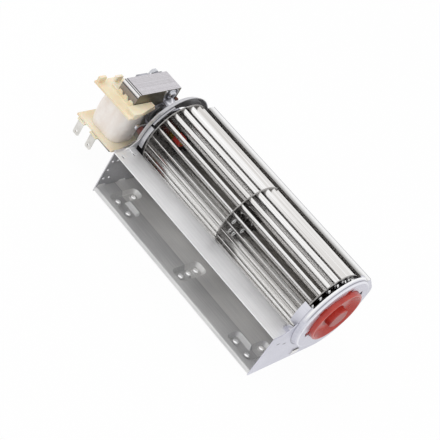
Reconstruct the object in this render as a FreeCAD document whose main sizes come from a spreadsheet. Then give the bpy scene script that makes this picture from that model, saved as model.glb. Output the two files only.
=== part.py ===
# Oven cooling fan: a tangential blower with a shaded-pole motor at one end.
# X runs along the impeller from the motor towards the free bearing, the outlet
# faces -Y and +Z is up. The fan rests on its two end plates and its sunk pads.
# The origin is the centre of the base holes, on the plane that it rests on.
# Inside a piece the dimensions start at the motor plate's inner face (x) and
# at the impeller's axis (y, z); each piece's placement carries them to the origin.
import FreeCAD, Part
import math
import os
import Sketcher

doc = FreeCAD.newDocument("oven_cooling_fan")

# Driving dimensions in millimetres and degrees

dimensions = [
    # housing as a whole
    ("housing_width", 184.3), ("sheet", 0.8), ("outlet_reach", 54.4), ("outlet_top", 11.5),
    ("scroll_radius", 48.3), ("scroll_end", -8), ("wall_bend", 15.5), ("wall_angle", 46),
    ("wall_length", 14.5), ("lip_width", 5.4), ("seam_gap", 0.05),
    # mounting pads and their holes
    ("pad_depth", 3.6), ("pad_taper", 30), ("pattern_x", 93.85), ("pattern_y", -34.25),
    ("outer_pitch", 155), ("inner_pitch", 129.5), ("row_pitch", 16.7), ("base_hole", 2.1),
    ("collar_wall", 0.9), ("collar_height", 1.2), ("pad_margin", 7.4), ("pad_waist", 5.2),
    ("pad_corner", 5.5), ("step_back", 8.8), ("front_drop", 2.4), ("front_bend", 1.3),
    # tongue sheet
    ("tongue_reach", 31), ("tongue_bend", 2.2), ("tongue_lip", 5.5), ("roof_slot_x", 5.4),
    ("roof_slot_length", 3), ("roof_slot_width", 1.6), ("roof_slot_front", 4.2),
    ("roof_slot_rear", 15.5),
    # end plates
    ("plate_rear", 52), ("plate_heel", 30), ("plate_brow", 12), ("lip_y", 38.2),
    ("gusset_start", 13.4), ("gusset_round", 14), ("dish_y", 1.5), ("dish_z", -2.2),
    ("dish_radius", 33.5), ("dish_flare", 1.5), ("dish_edge", 1.6),
    ("motor_dish", 4.0), ("bearing_dish", 5.8),
    ("hood_start", 157), ("hood_end", 191), ("motor_hood", 3.6), ("bearing_hood", 7),
    ("flap_start", 118), ("flap_end", 154), ("flap_reach", 1.5),
    ("trim_start", 72), ("trim_end", 155), ("trim_depth", 1.4),
    ("ear_front", 39.5), ("ear_width", 4.6), ("ear_reach", 5), ("top_flange", 2.5),
    ("tab_width", 7.6), ("tab_height", 4.6), ("tab_drop", 3), ("slot_height", 1.4),
    ("front_tab", 5.6), ("rear_tab", 26.4), ("free_tab", 4.6),
    ("pierce_front", 3.7), ("pierce_rear", 9.6), ("pierce_top", 21.7), ("pierce_middle", 30.7),
    ("pierce_low", 39.6), ("pierce_radius", 1.1),
    # impeller
    ("impeller_radius", 30.2), ("disc_thickness", 0.8), ("disc_motor_x", 4.3),
    ("disc_bearing_inset", 3.4), ("blade_count", 22),
    ("blade_tip", 29.3), ("blade_root", 23), ("blade_camber", 6.4), ("blade_thickness", 0.45),
    ("blade_phase", 112.3), ("slot_gap", 0.05), ("tab_root", 24.2), ("tab_tip", 27.2),
    ("tab_proud", 0.6), ("centre_hole", 3), ("eyelet_circle", 17), ("eyelet_radius", 2.3),
    ("eyelet_hole", 1.6), ("eyelet_height", 0.7), ("eyelet_count", 10), ("eyelet_phase", -6),
    # motor shaft, drive and free end
    ("shaft_radius", 2.5), ("running_gap", 0.04), ("shaft_rear", 53), ("shaft_front", 12.5),
    ("hub_radius", 3.6), ("hub_flange", 4.8), ("hub_lip", 7), ("hub_collar", 2.2),
    ("hub_spigot", 3.3), ("bush_radius", 4.4), ("bush_length", 7.2),
    ("stub_flange", 8), ("stub_flange_width", 1.0), ("stub_reach", 7.7),
    ("free_bush_radius", 5), ("free_bush_inset", 0.8), ("free_bush_reach", 8.3),
    # silicone bearing holder
    ("holder_reach", 9.5), ("holder_radius", 23.2), ("holder_flange", 25.2), ("plate_opening", 23.45),
    ("holder_rear", 1.5), ("holder_rim", 2.2), ("holder_dish", 3.7), ("holder_hub", 8.4),
    ("hub_proud", 1.5), ("notch_count", 6), ("notch_phase", 34.6), ("notch_radius", 26.6),
    ("notch_width", 6.5),
    # motor laminations
    ("stack_rear", 38.3), ("stack_front", 19.3), ("stack_top", 24), ("stack_nose", 33),
    ("stack_tail", 13.6), ("arm_height", 12), ("leg_width", 12), ("head_front", 12.4),
    ("stack_base", 34.8), ("stator_bore", 11), ("stack_round", 2.4), ("key_depth", 1.8),
    ("groove_radius", 0.5), ("groove_inset", 2.7),
    ("key_width", 5), ("rotor_radius", 10.65), ("cage_radius", 9.4), ("cage_bore", 5.5),
    ("cage_ring", 2.5), ("cage_bar", 1.6), ("cage_bars", 12),
    ("bolt_y", 3), ("bolt_z", 20.8), ("bolt_radius", 2), ("bolt_gap", 0.1),
    ("ring_wire", 1.6), ("ring_start", 5), ("ring_z", 12),
    # bobbin, winding and terminals
    ("bobbin_wall", 1.3), ("bobbin_gap", 0.1), ("flange_thickness", 1.8),
    ("flange_back", 52), ("flange_side", 9.4), ("flange_front", 45.5), ("flange_rear", 12.7),
    ("flange_waist", 14.6), ("step_start", 19), ("step_front", 41), ("step_height", 3),
    ("winding_side", 14.6), ("winding_back", 46.4), ("winding_front", 40.6),
    ("winding_rear", 14.4), ("winding_round", 9), ("base_inset", 1.0), ("top_inset", 2.2),
    ("rail_width", 1.6), ("rail_height", 1.6), ("wave_height", 2.2), ("wave_count", 3),
    ("terminal_width", 6.3), ("terminal_thick", 0.8), ("terminal_y", 45.2),
    ("terminal_tip", 36.9), ("terminal_first", 45), ("terminal_second", 29.6),
    ("terminal_hole", 1.0), ("socket_height", 1.6), ("socket_wall", 0.9),
    ("post_height", 4.6), ("post_length", 7), ("post_width", 2.4),
    # motor bridges, bearings and silicone mounts
    ("bridge_sheet", 1.2), ("spider_x", 8), ("spider_radius", 9.5), ("arm_width", 7),
    ("arm_reach", 28), ("arm_front", 181), ("arm_low", 245), ("arm_rear", 1),
    ("cup_radius", 6.05), ("cup_depth", 7.5), ("cup_mouth", 3.6), ("bridge_leg", 12),
    ("bridge_shoulder", 12.5), ("bridge_root", 15.2), ("ear_radius", 7), ("ear_top", 23.6),
    ("bearing_radius", 6), ("bearing_width", 6.4), ("rear_cup_x", 50),
    ("grommet_radius", 3.2), ("mount_screw", 1.6), ("mount_head", 2.9), ("mount_head_height", 1.8),
    ("motor_opening", 21), ("screw_head", 2.9), ("screw_head_height", 2.6),
    ("washer_radius", 4), ("washer_height", 0.7), ("nut_flat", 3.5),
    ("nut_height", 3.2),
]

fan = doc.addObject("Spreadsheet::Sheet", "fan")
for row, (alias, number) in enumerate(dimensions, start=1):
    fan.set("A%d" % row, alias)
    fan.set("B%d" % row, str(number))
    fan.setAlias("B%d" % row, alias)
doc.recompute()

# Shared ways of drawing: a formula names cells of the sheet as fan.name

planes = {}
parts = []


def number(formula):
    return float(fan.evalExpression(formula.replace("fan.", "")))


def bind(item, prop, formula):
    item.setExpression(prop, formula)


def place(item, turn=None):
    if turn is not None:
        item.Placement = FreeCAD.Placement(FreeCAD.Vector(), FreeCAD.Rotation(FreeCAD.Vector(1, 0, 0), 10))
        bind(item, "Placement.Rotation.Angle", turn)
    bind(item, "Placement.Base.x", "-fan.pattern_x")
    bind(item, "Placement.Base.y", "-fan.pattern_y")
    bind(item, "Placement.Base.z", "fan.scroll_radius + fan.pad_depth")


def new_body(name, turn=None):
    body = doc.addObject("PartDesign::Body", name)
    body.Label = name
    place(body, turn)
    parts.append(body)
    return body


def draw_on(body, name, role, offset="0", x="0", y="0"):
    sketch = body.newObject("Sketcher::SketchObject", name)
    plane = [item for item in body.Origin.OriginFeatures if item.Role == role][0]
    sketch.AttachmentSupport = (plane, [""])
    sketch.MapMode = "FlatFace"
    bind(sketch, "AttachmentOffset.Base.x", x)
    bind(sketch, "AttachmentOffset.Base.y", y)
    bind(sketch, "AttachmentOffset.Base.z", offset)
    return sketch


def fix_point(sketch, element, end, across, up):
    for kind, formula in (("DistanceX", across), ("DistanceY", up)):
        index = sketch.addConstraint(Sketcher.Constraint(kind, -1, 1, element, end, number(formula)))
        bind(sketch, "Constraints[%d]" % index, formula)


def fix_radius(sketch, element, formula):
    index = sketch.addConstraint(Sketcher.Constraint("Radius", element, number(formula)))
    bind(sketch, "Constraints[%d]" % index, formula)


def circle(sketch, across, up, radius):
    centre = FreeCAD.Vector(number(across), number(up), 0)
    element = sketch.addGeometry(Part.Circle(centre, FreeCAD.Vector(0, 0, 1), number(radius)), False)
    fix_radius(sketch, element, radius)
    fix_point(sketch, element, 3, across, up)


def arc_between(start, end, radius, turn):
    # turn is 1 where the arc runs counter-clockwise from start to end, else -1
    chord = end - start
    middle = (start + end) * 0.5
    height = math.sqrt(max(radius * radius - chord.Length * chord.Length / 4, 0))
    normal = FreeCAD.Vector(-chord.y, chord.x, 0)
    normal.normalize()
    centre = middle + normal * (height * turn)
    first, last = (start, end) if turn > 0 else (end, start)
    from_angle = math.atan2(first.y - centre.y, first.x - centre.x)
    to_angle = math.atan2(last.y - centre.y, last.x - centre.x)
    round_edge = Part.Circle(centre, FreeCAD.Vector(0, 0, 1), radius)
    return Part.ArcOfCircle(round_edge, from_angle, to_angle)


def outline(sketch, corners):
    # a corner is (across, up), or (across, up, radius, turn) where an arc starts
    points = [FreeCAD.Vector(number(corner[0]), number(corner[1]), 0) for corner in corners]
    elements = []
    for index, corner in enumerate(corners):
        start = points[index]
        end = points[(index + 1) % len(points)]
        if len(corner) == 4:
            radius = number(corner[2])
            element = sketch.addGeometry(arc_between(start, end, radius, corner[3]), False)
            ends = (1, 2) if corner[3] > 0 else (2, 1)
            fix_radius(sketch, element, corner[2])
        else:
            element = sketch.addGeometry(Part.LineSegment(start, end), False)
            ends = (1, 2)
        elements.append((element, ends))
    for index, (element, ends) in enumerate(elements):
        following, following_ends = elements[(index + 1) % len(elements)]
        join = Sketcher.Constraint("Coincident", element, ends[1], following, following_ends[0])
        sketch.addConstraint(join)
        fix_point(sketch, element, ends[0], corners[index][0], corners[index][1])


def box_outline(sketch, left, bottom, right, top):
    outline(sketch, [(left, bottom), (right, bottom), (right, top), (left, top)])


def rounded_box(sketch, left, bottom, right, top, corner):
    outline(sketch, [
        (f"{left} + {corner}", bottom), (f"{right} - {corner}", bottom, corner, 1),
        (right, f"{bottom} + {corner}"), (right, f"{top} - {corner}", corner, 1),
        (f"{right} - {corner}", top), (f"{left} + {corner}", top, corner, 1),
        (left, f"{top} - {corner}"), (left, f"{bottom} + {corner}", corner, 1)])


def sized(body, kind, name, sketch, length, flip=False):
    feature = body.newObject(kind, name)
    feature.Profile = sketch
    bind(feature, "Length", length)
    feature.Reversed = flip
    return feature


def pad(body, name, sketch, length, flip=False):
    feature = sized(body, "PartDesign::Pad", name, sketch, length, flip)
    doc.recompute()
    return feature


def cut(body, name, sketch, length, flip=False):
    before = body.Shape.Volume
    feature = sized(body, "PartDesign::Pocket", name, sketch, length, flip)
    doc.recompute()
    if body.Shape.Volume >= before:
        raise ValueError("the pocket %s removes nothing" % name)
    return feature


def turn_about_axis(body, name, sketch, kind="PartDesign::Revolution"):
    feature = body.newObject(kind, name)
    feature.Profile = sketch
    feature.ReferenceAxis = (sketch, ["H_Axis"])
    feature.Angle = 360
    doc.recompute()
    return feature


def repeat_about_x(body, name, features, count):
    pattern = body.newObject("PartDesign::PolarPattern", name)
    pattern.Originals = features
    axis = [item for item in body.Origin.OriginFeatures if item.Role == "X_Axis"][0]
    pattern.Axis = (axis, [""])
    pattern.Angle = 360
    bind(pattern, "Occurrences", count)
    body.Tip = pattern
    doc.recompute()
    return pattern


def turned_piece(name, profile):
    # a piece that is a solid of revolution about the impeller's axis
    body = new_body(name)
    sketch = draw_on(body, name + "_section", "XZ_Plane")
    outline(sketch, profile)
    turn_about_axis(body, name + "_turned", sketch)
    return body


# Scroll sheet: front edge, outlet floor, scroll, inclined wall and lip, folded from one sheet

outer = "fan.scroll_radius"
inner = "(fan.scroll_radius - fan.sheet)"
bend_y = "(fan.scroll_radius - fan.wall_bend) * cos(fan.scroll_end)"
bend_z = "(fan.scroll_radius - fan.wall_bend) * sin(fan.scroll_end)"
wall_y = f"{bend_y} + fan.wall_bend * cos(fan.wall_angle)"
wall_z = f"{bend_z} + fan.wall_bend * sin(fan.wall_angle)"
inside_bend = "(fan.wall_bend - fan.sheet)"
lip_bend_y = f"({wall_y} - fan.wall_length * sin(fan.wall_angle))"
lip_bend_z = f"({wall_z} + fan.wall_length * cos(fan.wall_angle))"
lip_setback = "fan.sheet * (1 + sin(fan.wall_angle)) / cos(fan.wall_angle)"

scroll = new_body("scroll_sheet")
section = draw_on(scroll, "scroll_section", "YZ_Plane")
outline(section, [
    ("-fan.outlet_reach", f"-{outer} - fan.front_drop"),
    ("-fan.outlet_reach + fan.sheet", f"-{outer} - fan.front_drop"),
    ("-fan.outlet_reach + fan.sheet", f"-{outer}"),
    ("0", f"-{outer}", outer, 1),
    (f"{outer} * cos(fan.scroll_end)", f"{outer} * sin(fan.scroll_end)", "fan.wall_bend", 1),
    (wall_y, wall_z),
    (lip_bend_y, lip_bend_z),
    (f"{lip_bend_y} + fan.lip_width", lip_bend_z),
    (f"{lip_bend_y} + fan.lip_width", f"{lip_bend_z} + fan.sheet"),
    (f"{lip_bend_y} - {lip_setback}", f"{lip_bend_z} + fan.sheet"),
    (f"{bend_y} + {inside_bend} * cos(fan.wall_angle)", f"{bend_z} + {inside_bend} * sin(fan.wall_angle)",
     inside_bend, -1),
    (f"{inner} * cos(fan.scroll_end)", f"{inner} * sin(fan.scroll_end)", inner, -1),
    ("0", f"-{inner}"),
    ("-fan.outlet_reach + fan.front_bend", f"-{inner}", "fan.front_bend", 1),
    ("-fan.outlet_reach", f"-{inner} - fan.front_bend")])
pad(scroll, "scroll_length", section, "fan.housing_width")

# Sunk mounting pads: the two outer ones turn a corner, the middle one is straight

front_row = "(fan.pattern_y - fan.row_pitch / 2)"
rear_row = "(fan.pattern_y + fan.row_pitch / 2)"
pad_front = f"{front_row} - fan.pad_margin"
pad_rear = f"{rear_row} + fan.pad_margin"
step_y = f"({front_row} + fan.step_back)"


def corner_pad(sketch, side, wall):
    # side is -1 at the motor end and 1 at the free end; wall moves the outline inwards
    outside = f"fan.pattern_x + {side} * (fan.outer_pitch / 2 + fan.pad_margin - {wall})"
    inside = f"fan.pattern_x + {side} * (fan.inner_pitch / 2 - fan.pad_margin + {wall})"
    waist = f"fan.pattern_x + {side} * (fan.outer_pitch / 2 - fan.pad_waist + {wall})"
    low = f"{pad_front} + {wall}"
    middle = f"{step_y} - {wall}"
    high = f"{pad_rear} - {wall}"
    curve = f"(fan.pad_corner - {wall})"
    step = f"{side} * {curve}"
    turn = side
    outline(sketch, [
        (f"{inside} + {step}", low),
        (f"{outside} - {step}", low, curve, turn),
        (outside, f"{low} + {curve}"),
        (outside, f"{high} - {curve}", curve, turn),
        (f"{outside} - {step}", high),
        (f"{waist} + {step}", high, curve, turn),
        (waist, f"{high} - {curve}"),
        (waist, middle),
        (f"{inside} + {step}", middle, curve, turn),
        (inside, f"{middle} - {curve}"),
        (inside, f"{low} + {curve}", curve, turn)])


def straight_pad(sketch, wall):
    rounded_box(sketch, f"fan.pattern_x - fan.pad_margin + {wall}", f"{pad_front} + {wall}",
                f"fan.pattern_x + fan.pad_margin - {wall}", f"{pad_rear} - {wall}",
                f"(fan.pad_corner - {wall})")


slant_wall = "fan.sheet / cos(fan.pad_taper)"
for name, side in (("motor_side", -1), ("middle", 0), ("free_side", 1)):
    for feature_name, wall in (("tray", "0"), ("hollow", slant_wall)):
        sketch_name = f"{name}_{feature_name}_outline"
        sketch = draw_on(scroll, sketch_name, "XY_Plane", f"-{inner}")
        if side:
            corner_pad(sketch, side, wall)
        else:
            straight_pad(sketch, wall)
        if feature_name == "tray":
            tray = pad(scroll, f"{name}_tray", sketch, "fan.pad_depth + fan.sheet", True)
            bind(tray, "TaperAngle", "-fan.pad_taper")
        else:
            hollow = cut(scroll, f"{name}_hollow", sketch, "fan.pad_depth")
            bind(hollow, "TaperAngle", "-fan.pad_taper")
doc.recompute()

base_holes = []
for side in (-1, 1):
    base_holes.append((f"fan.pattern_x + {side} * fan.outer_pitch / 2", front_row))
    base_holes.append((f"fan.pattern_x + {side} * fan.outer_pitch / 2", rear_row))
    base_holes.append((f"fan.pattern_x + {side} * fan.inner_pitch / 2", front_row))
for line in (front_row, "fan.pattern_y", rear_row):
    base_holes.append(("fan.pattern_x", line))
pad_face = f"-{inner} - fan.pad_depth"
collars = draw_on(scroll, "collar_outlines", "XY_Plane", pad_face)
holes = draw_on(scroll, "base_hole_outlines", "XY_Plane", f"{pad_face} + fan.collar_height")
for across, up in base_holes:
    circle(collars, across, up, "fan.base_hole + fan.collar_wall")
    circle(holes, across, up, "fan.base_hole")
pad(scroll, "hole_collars", collars, "fan.collar_height")
cut(scroll, "base_hole_cuts", holes, "fan.collar_height + 2 * fan.sheet")

# Tabs of the scroll sheet: through the end plates, folded down at the motor, up at the free end

front_tab = "(fan.outlet_reach - fan.front_tab)"


def scroll_tabs(name, face, outward, middles, near, far, tip):
    # face is the plate's inner face; the tab bends from the level near past far to its tip
    for index, middle in enumerate(middles):
        sketch = draw_on(scroll, f"{name}_{index}", "XZ_Plane", f"{middle} - fan.tab_width / 2")
        edge = f"{face} + {outward} * (2 * fan.sheet + fan.seam_gap)"
        fold = f"{face} + {outward} * (fan.sheet + fan.seam_gap)"
        outline(sketch, [(face, near), (edge, near), (edge, tip), (fold, tip), (fold, far), (face, far)])
        pad(scroll, f"{name}_{index}_fold", sketch, "fan.tab_width")


scroll_tabs("motor_end_tab", "0", -1, [front_tab, "fan.rear_tab"],
            f"-{inner}", f"-{outer}", f"-{outer} - fan.tab_drop")
scroll_tabs("free_end_tab", "fan.housing_width", 1, ["fan.free_tab"],
            f"-{outer}", f"-{inner}", f"-{outer} + fan.tab_height")

# Tongue sheet: outlet roof whose rear edge is folded down beside the impeller

tongue = new_body("tongue_sheet")
section = draw_on(tongue, "tongue_section", "YZ_Plane")
roof_end = "-fan.tongue_reach - fan.tongue_bend"
fold_start = "-fan.outlet_top - fan.tongue_bend"
outline(section, [
    ("-fan.outlet_reach", "-fan.outlet_top - fan.sheet"),
    (roof_end, "-fan.outlet_top - fan.sheet", "fan.tongue_bend - fan.sheet", -1),
    ("-fan.tongue_reach - fan.sheet", fold_start),
    ("-fan.tongue_reach - fan.sheet", "-fan.outlet_top - fan.tongue_lip"),
    ("-fan.tongue_reach", "-fan.outlet_top - fan.tongue_lip"),
    ("-fan.tongue_reach", fold_start, "fan.tongue_bend", 1),
    (roof_end, "-fan.outlet_top"),
    ("-fan.outlet_reach", "-fan.outlet_top")])
pad(tongue, "tongue_length", section, "fan.housing_width")
slots = draw_on(tongue, "roof_slot_outlines", "XY_Plane", "-fan.outlet_top")
for inset in ("fan.roof_slot_front", "fan.roof_slot_rear"):
    middle = f"(-fan.outlet_reach + {inset})"
    rounded_box(slots, "fan.roof_slot_x - fan.roof_slot_length / 2", f"{middle} - fan.roof_slot_width / 2",
                "fan.roof_slot_x + fan.roof_slot_length / 2", f"{middle} + fan.roof_slot_width / 2",
                "fan.roof_slot_width * 0.45")
cut(tongue, "roof_slots", slots, "fan.sheet * 2")

# End plates: drawn steel sheet, dished outwards round the end of the impeller

plate_base = "-fan.scroll_radius - fan.pad_depth"
dish_base = "(fan.dish_radius + fan.dish_flare)"
lip_height = f"({lip_bend_z} - fan.seam_gap)"


def rounded_corner(corner, before, after, radius):
    # the two ends of a fillet at a corner, as formulas, with the way that it turns
    spots = [FreeCAD.Vector(number(spot[0]), number(spot[1]), 0) for spot in (before, corner, after)]
    towards_before = spots[0] - spots[1]
    towards_after = spots[2] - spots[1]
    opening = towards_before.getAngle(towards_after)
    turn = 1 if towards_before.cross(towards_after).z < 0 else -1
    setback = 1 / math.tan(opening / 2)
    ends = []
    for way, spot in ((towards_before, before), (towards_after, after)):
        share = f"{radius} * {setback / way.Length:.6f}"
        ends.append((f"{corner[0]} + ({spot[0]} - ({corner[0]})) * {share}",
                     f"{corner[1]} + ({spot[1]} - ({corner[1]})) * {share}"))
    return [(ends[0][0], ends[0][1], radius, turn), ends[1]]


def ring_part(sketch, small, large, start, end):
    # a strip between two radii round the dish's centre, from one angle to another
    ends = []
    for radius in (large, small):
        for angle in (start, end):
            ends.append((f"fan.dish_y + {radius} * cos({angle})", f"fan.dish_z + {radius} * sin({angle})"))
    outline(sketch, [(ends[0][0], ends[0][1], large, 1), ends[1],
                     (ends[3][0], ends[3][1], small, -1), ends[2]])


def end_plate(name, face, outward, depth, hood):
    body = new_body(name)
    web = draw_on(body, name + "_web", "YZ_Plane", face)
    front_foot = ("-fan.outlet_reach", plate_base)
    heel = ("fan.plate_rear", plate_base)
    brow = ("fan.plate_rear", f"{lip_height} - fan.plate_rear + fan.lip_y")
    lip_corner = ("fan.lip_y", lip_height)
    inside_rear = ("fan.dish_y + fan.dish_radius * 0.6", lip_height)
    inside_front = ("fan.dish_y - fan.dish_radius * 0.8", "fan.dish_z + fan.dish_radius * 0.3")
    gusset = ("-fan.outlet_reach + fan.gusset_start", "-fan.outlet_top")
    front_top = ("-fan.outlet_reach", "-fan.outlet_top")
    outline(web, [front_foot]
            + rounded_corner(heel, front_foot, brow, "fan.plate_heel")
            + rounded_corner(brow, heel, lip_corner, "fan.plate_brow")
            + [lip_corner, inside_rear, inside_front]
            + rounded_corner(gusset, inside_front, front_top, "fan.gusset_round")
            + [front_top])
    pad(body, name + "_web_sheet", web, "fan.sheet", outward < 0)
    mouth = draw_on(body, name + "_mouth", "YZ_Plane", f"{face} - {outward} * fan.sheet")
    circle(mouth, "fan.dish_y", "fan.dish_z", f"{dish_base} - fan.sheet")
    cut(body, name + "_mouth_cut", mouth, "3 * fan.sheet", outward > 0)
    dish = draw_on(body, name + "_dish", "XZ_Plane", "-fan.dish_y", "0", "fan.dish_z")
    outside = f"{face} + {outward} * {depth}"
    inside = f"{face} + {outward} * ({depth} - fan.sheet)"
    outline(dish, [
        (face, f"{dish_base} - fan.sheet"), (face, dish_base),
        (f"{outside} - {outward} * fan.dish_edge", "fan.dish_radius", "fan.dish_edge", -outward),
        (outside, "fan.dish_radius - fan.dish_edge"), (outside, "fan.dish_radius * 0.4"),
        (inside, "fan.dish_radius * 0.4"), (inside, "fan.dish_radius - fan.dish_edge"),
        (f"{outside} - {outward} * fan.dish_edge", "fan.dish_radius - fan.sheet")])
    turn_about_axis(body, name + "_dish_wall", dish)
    flap = draw_on(body, name + "_hood", "YZ_Plane", inside)
    ring_part(flap, "(fan.dish_radius - fan.sheet)", "fan.dish_radius", "fan.hood_start", "fan.hood_end")
    pad(body, name + "_hood_flap", flap, f"{depth} - fan.sheet + {hood}", outward > 0)
    # ear folded inwards over the outlet roof
    ear = draw_on(body, name + "_ear", "XZ_Plane", "fan.ear_front - fan.ear_width")
    root = f"{face} + {outward} * fan.sheet"
    tip = f"{face} - {outward} * fan.ear_reach"
    outline(ear, [(face, "-fan.outlet_top - fan.sheet"), (root, "-fan.outlet_top - fan.sheet"),
                  (root, "-fan.outlet_top + fan.sheet"), (tip, "-fan.outlet_top + fan.sheet"),
                  (tip, "-fan.outlet_top"), (face, "-fan.outlet_top")])
    pad(body, name + "_ear_fold", ear, "fan.ear_width")
    return body


motor_plate = end_plate("end_plate_motor", "0", -1, "fan.motor_dish", "fan.motor_hood")
bearing_plate = end_plate("end_plate_bearing", "fan.housing_width", 1,
                          "fan.bearing_dish", "fan.bearing_hood")

# Motor plate: second flap, opening for the drive, mount holes, tab slots and pierced holes

flap = draw_on(motor_plate, "second_flap_outline", "YZ_Plane", "-fan.motor_dish + fan.sheet")
ring_part(flap, "(fan.dish_radius - fan.sheet)", "fan.dish_radius", "fan.flap_start", "fan.flap_end")
pad(motor_plate, "second_flap", flap, "fan.motor_dish - fan.sheet + fan.flap_reach")
arm_angles = ["fan.arm_front", "fan.arm_low", "fan.arm_rear"]
opening = draw_on(motor_plate, "motor_opening_outline", "YZ_Plane", "0")
circle(opening, "0", "0", "fan.motor_opening")
for angle in arm_angles:
    circle(opening, f"fan.arm_reach * cos({angle})", f"fan.arm_reach * sin({angle})",
           "fan.mount_screw + fan.bolt_gap")
cut(motor_plate, "motor_opening_cut", opening, "fan.motor_dish + fan.sheet")
pierced = draw_on(motor_plate, "pierced_outlines", "YZ_Plane", "fan.sheet")
for across, up in (("front", "top"), ("rear", "top"), ("front", "middle"),
                   ("front", "low"), ("rear", "low")):
    circle(pierced, f"-fan.outlet_reach + fan.pierce_{across}", f"-fan.pierce_{up}", "fan.pierce_radius")
for middle in (front_tab, "fan.rear_tab"):
    box_outline(pierced, f"-{middle} - fan.tab_width / 2 - fan.seam_gap", f"-{outer} - fan.seam_gap",
                f"-{middle} + fan.tab_width / 2 + fan.seam_gap", f"-{inner} + fan.slot_height")
cut(motor_plate, "pierced_cuts", pierced, "3 * fan.sheet")
strip = draw_on(motor_plate, "top_flange_outline", "YZ_Plane", "0")
box_outline(strip, "-fan.outlet_reach + 2 * fan.sheet", "-fan.outlet_top - fan.sheet",
            "-fan.outlet_reach + fan.gusset_start", "-fan.outlet_top")
pad(motor_plate, "top_flange_fold", strip, "fan.top_flange", True)

# Bearing plate: collar trimmed over the top, notched opening for the silicone holder, one tab slot

trim = draw_on(bearing_plate, "collar_trim_outline", "YZ_Plane", "fan.housing_width - fan.sheet")
ring_part(trim, "(fan.dish_radius - 4 * fan.sheet)", f"({dish_base} + fan.sheet)",
          "fan.trim_start", "fan.trim_end")
cut(bearing_plate, "collar_trim", trim, "fan.trim_depth + fan.sheet", True)
opening = draw_on(bearing_plate, "holder_opening_outline", "YZ_Plane", "fan.housing_width")
circle(opening, "0", "0", "fan.plate_opening")
cut(bearing_plate, "holder_opening_cut", opening, "fan.bearing_dish + fan.sheet", True)
notch = draw_on(bearing_plate, "notch_outline", "YZ_Plane", "fan.housing_width")
box_outline(notch, "fan.plate_opening * 0.9", "-fan.notch_width / 2",
            "fan.notch_radius", "fan.notch_width / 2")
bind(notch, "AttachmentOffset.Rotation.Angle", "fan.notch_phase")
notch_cut = cut(bearing_plate, "notch_cut", notch, "fan.bearing_dish + fan.sheet", True)
repeat_about_x(bearing_plate, "notches", [notch_cut], "fan.notch_count")
pierced = draw_on(bearing_plate, "free_slot_outline", "YZ_Plane", "fan.housing_width - fan.sheet")
box_outline(pierced, "-fan.free_tab - fan.tab_width / 2 - fan.seam_gap", f"-{outer} - fan.seam_gap",
            "-fan.free_tab + fan.tab_width / 2 + fan.seam_gap", f"-{inner} + fan.seam_gap")
cut(bearing_plate, "free_slot_cut", pierced, "3 * fan.sheet", True)

# Silicone bearing holder and its sintered bronze bush

plate_inside = "(fan.housing_width + fan.bearing_dish - fan.sheet)"
holder_face = "(fan.housing_width + fan.holder_reach)"
dished = f"({holder_face} - fan.holder_dish)"
back = f"({plate_inside} - fan.seam_gap - fan.holder_rear)"
bush_start = "(fan.housing_width - fan.free_bush_inset)"
bush_end = "(fan.housing_width + fan.free_bush_reach)"
turned_piece("bearing_holder", [
    (bush_start, "fan.free_bush_radius"),
    (bush_end, "fan.free_bush_radius"),
    (bush_end, "0"),
    (f"{holder_face} + fan.hub_proud", "0"),
    (f"{holder_face} + fan.hub_proud", "fan.holder_hub - 0.8", "0.8", 1),
    (f"{holder_face} + fan.hub_proud - 0.8", "fan.holder_hub"),
    (dished, "fan.holder_hub + 0.4"),
    (dished, "fan.holder_radius - 2 * fan.holder_rim"),
    (holder_face, "fan.holder_radius - fan.holder_rim + 0.6"),
    (holder_face, "fan.holder_radius - 0.9", "0.9", 1),
    (f"{holder_face} - 0.9", "fan.holder_radius"),
    (f"{plate_inside} - fan.seam_gap", "fan.holder_radius"),
    (f"{plate_inside} - fan.seam_gap", "fan.holder_flange"),
    (back, "fan.holder_flange - 0.5"),
    (back, "fan.holder_hub"),
    (bush_start, "fan.holder_hub")])
turned_piece("bearing_bush", [
    (bush_start, "fan.shaft_radius + fan.running_gap"),
    (bush_end, "fan.shaft_radius + fan.running_gap"),
    (bush_end, "fan.free_bush_radius"),
    (bush_start, "fan.free_bush_radius")])

# Impeller: curved blades that pass through three slotted discs

root_y = "fan.blade_root"


def blade_angle(radius):
    # how far the camber line has turned where it reaches this radius
    reach = "sqrt(fan.blade_root^2 + fan.blade_camber^2)"
    share = f"({radius}^2 - fan.blade_root^2 - 2 * fan.blade_camber^2) / (2 * fan.blade_camber * {reach})"
    return f"(asin({share}) + atan(fan.blade_camber / fan.blade_root))"


def blade_section(sketch, start_radius, end_radius, grow):
    # a strip of the blade's section between two radii, made wider by grow all round
    start = blade_angle(start_radius)
    end = blade_angle(end_radius)
    outside = f"(fan.blade_camber + fan.blade_thickness / 2 + {grow})"
    inside = f"(fan.blade_camber - fan.blade_thickness / 2 - {grow})"
    spare = f"{grow} / fan.blade_camber * 57.3 deg"
    spots = []
    for radius, angle in ((outside, f"({start} - {spare})"), (outside, f"({end} + {spare})"),
                          (inside, f"({end} + {spare})"), (inside, f"({start} - {spare})")):
        spots.append((f"{root_y} + {radius} * sin({angle})",
                      f"-fan.blade_camber + {radius} * cos({angle})"))
    outline(sketch, [spots[0] + (outside, -1), spots[1], spots[2] + (inside, 1), spots[3]])


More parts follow.
